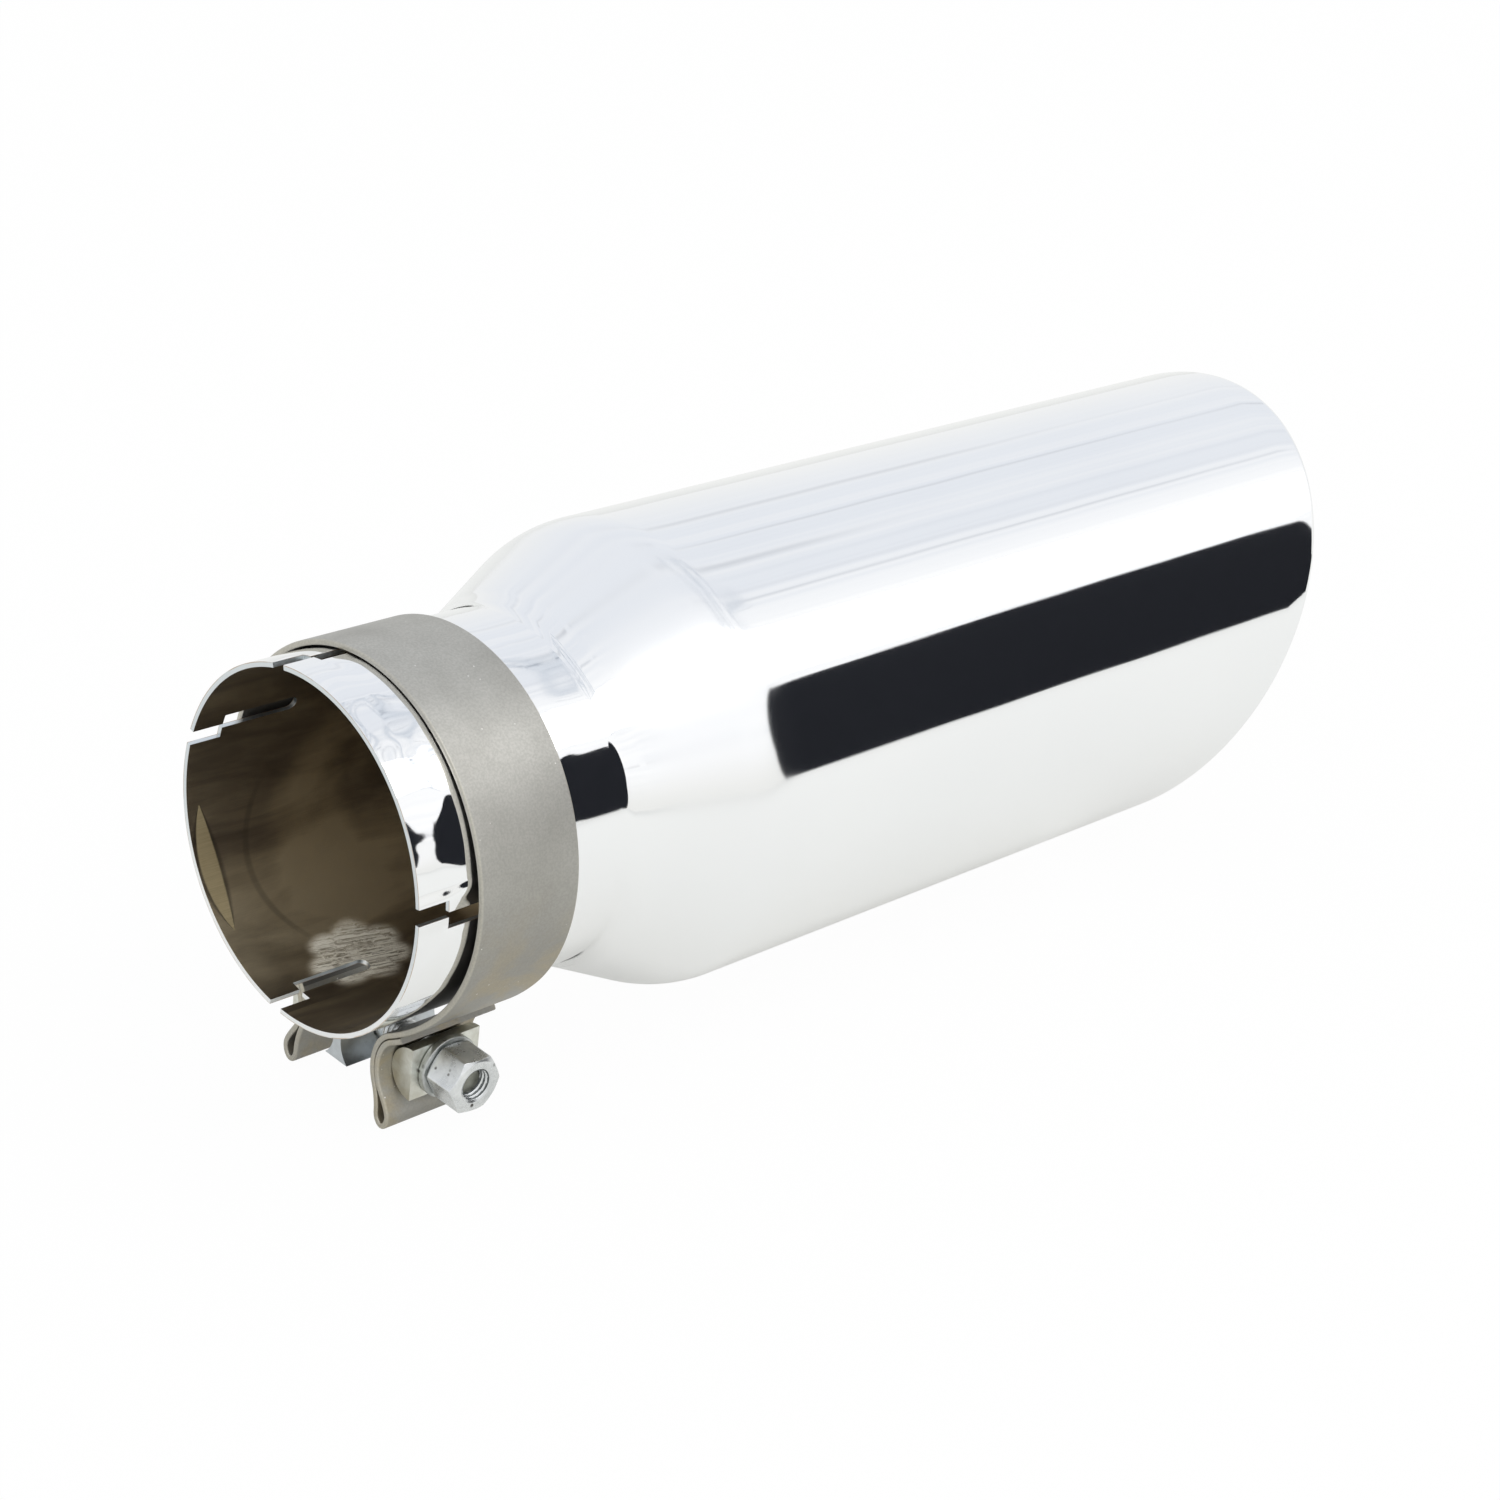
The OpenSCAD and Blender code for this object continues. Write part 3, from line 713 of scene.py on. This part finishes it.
def hex_radius(turn):
    """Hexagon with softened corners: the p-norm minimum, p = 70, of the distances to its flats."""
    flats = np.radians(np.arange(6) * 60 + 30 + hex_turn)
    cos = np.clip(np.cos(turn[..., None] - flats), 0.05, 1)
    return ((cos / (hex_flats / 2)) ** 70).sum(-1) ** (-1 / 70)


def thread(out, turn, minor, major):
    """Radius of a right-hand thread: a trapezium wave of out / lead - turn / 2 pi."""
    phase = (out / lead - turn / (2 * math.pi)) % 1
    wave = np.clip(np.abs(phase - 0.5) * 4 - 1, -0.75, 0.75) / 1.5 + 0.5
    return minor + (major - minor) * wave


def hex_side(t0, t1, turn, chamfer0=True, chamfer1=True):
    """Outside of a hexagon head from one face to the other: the face's rim circle, the 30 degree
    chamfer where the cone meets the flats, and the flats between, with close rows at each edge."""
    rim = hex_flats / 2 * 0.95
    radius = hex_radius(turn)[None, :]
    drop = (radius - rim) * math.tan(math.radians(30))
    shares = np.array([0.0, 0.08, 0.92, 1.0])[:, None]

    def end(t, way, chamfer):
        if not chamfer:
            edge = np.array([[0.96], [1.0], [1.0]])
            return t + way * np.array([[0.0], [0.0], [0.12]]) + 0 * radius, radius * edge
        return t + way * drop * shares, rim + (radius - rim) * shares

    out0, r0 = end(t0, 1, chamfer0)
    out1, r1 = end(t1, -1, chamfer1)
    middle = out0[-1:] + (out1[-1:] - out0[-1:]) * np.array([[0.03], [0.3], [0.7], [0.97]])
    return (np.vstack([out0, middle, out1[::-1]]),
            np.vstack([r0, radius + 0 * middle, r1[::-1]]))


bright_zinc = plated("bright_zinc", (0.87, 0.885, 0.89), (0.62, 0.64, 0.65), 0.20, 1.0)
thread_root_painted_shade = plated("thread_root_painted_shade", (0.24, 0.26, 0.27), (0.10, 0.11, 0.11), 0.25)


def make_nut():
    """Closed loop of rows: through the tapped bore, over the face, down the outside and back."""
    out = np.linspace(0, nut_h, 105)[:, None]
    turn = hex_turns[None, :]
    depth = np.minimum(out, nut_h - out)
    sink = sink_r - depth * math.tan(math.radians(60))
    bore = np.maximum(thread(nut_in + out, turn, nut_minor, nut_major), sink)
    side_out, side_r = hex_side(0.0, nut_h, hex_turns)
    face = np.array([[5.52], [7.0], [7.5]])
    rows_out = np.vstack([out + 0 * turn, nut_h + 0 * face + 0 * turn, side_out[::-1],
                          0 * face + 0 * turn])
    rows_r = np.vstack([bore, face + 0 * turn, side_r[::-1], face[::-1] + 0 * turn])
    points = about_bolt(nut_in + rows_out, rows_r, turn)
    # Painted shade: the thread's roots, deep in the bore, take the dark finish.
    root = (bore[:-1] + bore[1:]) / 2 > 4.75
    tapped = np.zeros(points.shape[:2], int)
    tapped[:len(bore) - 1] = root * (depth[:-1] > 0.5)
    return piece("tall_nut", points, ring_quads(*points.shape[:2]).reshape(-1, 4), "nut",
                 [bright_zinc, thread_root_painted_shade], tapped.ravel())


nut = make_nut()
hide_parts("nut")

# Bolt: a hexagon-head M10 screw from the far side, part threaded. Its end stops inside the nut, and
# is duller than the rest.
bolt_len, thread_from = 65.0, 4.0
bolt_minor, bolt_major, runout_len, end_chamfer = 4.10, 4.93, 3.0, 1.0
head_in = spacer_out + stack_gap
bolt_end = plated("cut_bolt_end", (0.42, 0.43, 0.38), (0.24, 0.24, 0.21), 0.35)


def make_bolt():
    """Rows from the middle of the head's top, over the head, along the shank, over the thread and
    its chamfered end, to the middle of the end."""
    turn = hex_turns[None, :]
    head_out, head_r = hex_side(-head_in - head_h, -head_in, hex_turns, True, False)
    end = bolt_len - head_in
    plain = np.array([-head_in, -head_in + 0.5, -6, thread_from - 1.0])[:, None]
    plain_r = np.array([5.1, bolt_major, bolt_major, bolt_major])[:, None]
    tapped = np.linspace(thread_from, end, 240)[:, None]
    taper = np.minimum(bolt_major, bolt_major - (tapped - (end - end_chamfer)) * 0.95)
    runout = bolt_minor + (bolt_major - bolt_minor) * np.clip(
        1 - (tapped - thread_from) / runout_len, 0, 1)
    tapped_r = np.minimum(np.maximum(thread(tapped, turn, bolt_minor, bolt_major), runout), taper)
    top = np.array([[0.0], [3.0], [6.0], [7.4]])
    caps = np.array([[3.6], [2.0], [0.0]])
    rows_out = np.vstack([-head_in - head_h + 0 * top + 0 * turn, head_out,
                          plain + 0 * turn, tapped + 0 * turn, end + 0 * caps + 0 * turn])
    rows_r = np.vstack([top + 0 * turn, head_r, plain_r + 0 * turn, tapped_r, caps + 0 * turn])
    points = about_bolt(rows_out, rows_r, turn)
    faces = ring_quads(*points.shape[:2], closed=False).reshape(-1, 4)
    cut = np.zeros((len(points) - 1, len(hex_turns)), int)
    cut[-4:] = 1
    return piece("clamp_bolt", points, faces, "tip", [bright_zinc, bolt_end], cut.ravel(),
                 merge=0.001)


bolt = make_bolt()
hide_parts("bolt")

# Studio: a plain white floor, a pale surrounding, one long soft box above and a dark flag on the
# camera's side, which gives polished steel its dark band. A clear card with faint winding lines
# hangs where the neck mirrors it. Lengths are in metres from here on.
floor_z = (-bolt_drop - ear_tail - 0.1) * MM


def panel(name, corners, finish):
    """One flat face, which belongs to the stage and not to the object."""
    mesh = bpy.data.meshes.new(name)
    mesh.from_pydata(corners, [], [tuple(range(len(corners)))])
    mesh.materials.append(finish)
    obj = bpy.data.objects.new(name, mesh)
    bpy.context.scene.collection.objects.link(obj)
    return obj


def floor_finish():
    """White paper that keeps the object's shadow: mostly its own white to the camera, partly so to
    polished metal, and plain paper to everything else."""
    finish = Finish("white_paper", Roughness=0.9, Specular_IOR_Level=0.1)
    finish.shader.inputs["Base Color"].default_value = (0.82, 0.82, 0.795, 1)
    path = finish.add("ShaderNodeLightPath")
    outputs = path.socket.node.outputs
    seen, mirrored = Value(finish, outputs["Is Camera Ray"]), Value(finish, outputs["Is Glossy Ray"])
    tone = finish.mixed(seen, (0.89, 0.89, 0.86), (1.0, 1.0, 1.0))
    white = finish.add("ShaderNodeEmission", None, [tone, 1.0])
    share = (seen * 0.97 + mirrored * 0.40).limited()
    whole = finish.add("ShaderNodeMixShader", None, [share])
    mix = whole.socket.node
    finish.tree.links.new(finish.shader.outputs[0], mix.inputs[1])
    finish.tree.links.new(white.socket, mix.inputs[2])
    finish.tree.links.new(whole.socket, finish.tree.nodes["Material Output"].inputs["Surface"])
    return finish.material


panel("floor", [(x, y, floor_z) for x, y in ((-9, -9), (9, -9), (9, 9), (-9, 9))], floor_finish())
flag_finish = Finish("black_flag", Roughness=1.0, Specular_IOR_Level=0.0)
flag_finish.shader.inputs["Base Color"].default_value = (0.017, 0.018, 0.022, 1)


def flag_outline():
    """The flag's outline in its plane, as [x, z]: quarter ellipses at three corners, each given by
    its middle, its two radii and its angles, and a far end that leans away."""
    corners = [(2.90, 0.52, 2.00, 0.95, 180, 90), (2.99, 1.20, 0.24, 0.22, 90, 0)]
    top = [[cx + rx * math.cos(math.radians(a)), cz + rz * math.sin(math.radians(a))]
           for cx, cz, rx, rz, a0, a1 in corners for a in np.linspace(a0, a1, 13)]
    end = [[3.24, 0.95], [3.30, 0.60], [3.70, 0.30], [4.80, 0.10], [5.00, -0.08], [2.90, -0.08],
           [2.60, -0.02]]
    low = [[1.45 - 0.50 * math.cos(math.radians(a)), 0.35 - 0.39 * math.sin(math.radians(a))]
           for a in np.linspace(90, 0, 13)]
    return top + end + low


flag = panel("black_flag", [(x, -1.5, z) for x, z in flag_outline()], flag_finish.material)


def mottled():
    """A clear card with bluish patches and thin, winding grey lines on it, faded at its ends."""
    finish = Finish("mottled_card", Roughness=1.0, Specular_IOR_Level=0.0)
    finish.shader.inputs["Base Color"].default_value = (0, 0, 0, 1)
    finish.shader.inputs["Emission Strength"].default_value = 1.0
    vector, x, y, z = finish.place()
    field = finish.noise(finish.vector(x * 7.0, y * 1.7, z * 1.7), 1.2, 0.0, 0.4, 0.7)
    patch = field.step(0.44, 0.50) * (1.0 - field.step(0.56, 0.62))
    lines = 1.0 - abs(field - 0.38).step(0.001, 0.008)
    for level in (0.44, 0.50, 0.56, 0.62):
        lines = lines + (1.0 - abs(field - level).step(0.001, 0.008))
    colour = finish.mixed(lines.limited(), (0.72, 0.77, 0.84), (0.42, 0.46, 0.52))
    cover = (patch * 0.75 + lines * 0.45).limited()
    cover = cover * x.step(0.42, 0.55) * (1.0 - x.step(0.90, 0.97))
    return finish.surface(Emission_Color=colour, Alpha=cover)


card = panel("mottled_card", [(0.40, 0.50, 1.09), (0.97, 0.50, 1.09), (0.97, -0.80, 0.80),
                              (0.40, -0.80, 0.80)], mottled())
for unlit in (flag, card):
    unlit.visible_camera = unlit.visible_shadow = unlit.visible_diffuse = False

# The surrounding: a pale sky that is bluer higher up, with strips along the tube's direction, a
# bright glow above the camera's side, a few thin broken seams, and a warmer part near the floor.
world = bpy.data.worlds.new("pale_studio")
world.use_nodes = True
bpy.context.scene.world = world


class Surrounding(Finish):
    """The world's node tree, built with the same methods as a finish, but linked by hand."""
    def __init__(self, of_world):
        self.tree = of_world.node_tree
        self.shader = self.tree.nodes["Background"]


around = Surrounding(world)
direction = around.add("ShaderNodeTexCoord")
parts = around.add("ShaderNodeSeparateXYZ", None, [direction]).socket.node.outputs
dx, dy, dz = (Value(around, socket) for socket in parts)
over_turn = around.turn(dz, dy)
strips = around.noise(around.vector(over_turn * 9.0, dx * 0.35, 0.0), 1.6, 4.0, 0.62)
sky = around.mixed(dz.step(-0.1, 0.55), (0.93, 0.935, 0.93), (0.845, 0.875, 0.925))
sky = around.mixed(strips.step(0.42, 0.66) * dz.step(0.1, 0.45) * 0.5, sky, (0.97, 0.975, 0.985))
dim_strip = (1.0 - strips.step(0.28, 0.42)) * dz.step(0.2, 0.5) * 0.4
sky = around.mixed(dim_strip, sky, (0.66, 0.68, 0.73))
glow = over_turn.step(1.40, 1.98) * (strips * 1.5 + 0.05)
sky = around.mixed(glow.limited(), sky, (1.10, 1.10, 1.10))
broken = around.noise(around.vector(dx * 5.0, over_turn * 2.0, 0.0), 1.0, 2.0).step(0.40, 0.62)
seams = ((0.55, 0.05, 0.30), (0.92, 0.025, 0.40), (1.22, 0.05, 0.45), (1.62, 0.02, 0.35),
         (2.72, 0.015, 0.30))
for at, wide, depth in seams:
    seam = (1.0 - abs(over_turn - at).step(0.0, wide)) * broken * depth
    sky = around.mixed(seam, sky, (0.42, 0.44, 0.48))
near_floor = (1.0 - dz.step(0.0, 0.38)) * (0.0 - dy).step(0.0, 0.3)
sky = around.mixed(near_floor, sky, (0.915, 0.915, 0.89))
seen = Value(around, around.add("ShaderNodeLightPath").socket.node.outputs["Is Camera Ray"])
background = around.mixed(seen, sky, (1.0, 1.0, 1.0))
around.tree.links.new(background.socket, around.shader.inputs["Color"])

softbox_len, softbox_w, softbox_away, softbox_tilt = 6.0, 0.95, 2.2, math.radians(121.7)
softbox_glow = 1.35  # radiance, from which the energy is pi times the area times it
softbox_data = bpy.data.lights.new("long_softbox", "AREA")
softbox_data.shape, softbox_data.size, softbox_data.size_y = "RECTANGLE", softbox_len, softbox_w
softbox_data.energy = softbox_glow * math.pi * softbox_len * softbox_w
softbox = bpy.data.objects.new("long_softbox", softbox_data)
bpy.context.scene.collection.objects.link(softbox)
toward = np.array([0.0, math.cos(softbox_tilt), math.sin(softbox_tilt)])
across = np.cross(toward, [1.0, 0.0, 0.0])
softbox_at = toward * softbox_away + [1.4, 0, 0]
softbox.matrix_world = Matrix(np.vstack([
    np.column_stack([[1.0, 0.0, 0.0], across, toward, softbox_at]), [0, 0, 0, 1]]).tolist())
softbox.visible_camera = False

bpy.context.scene.view_settings.view_transform = "Standard"
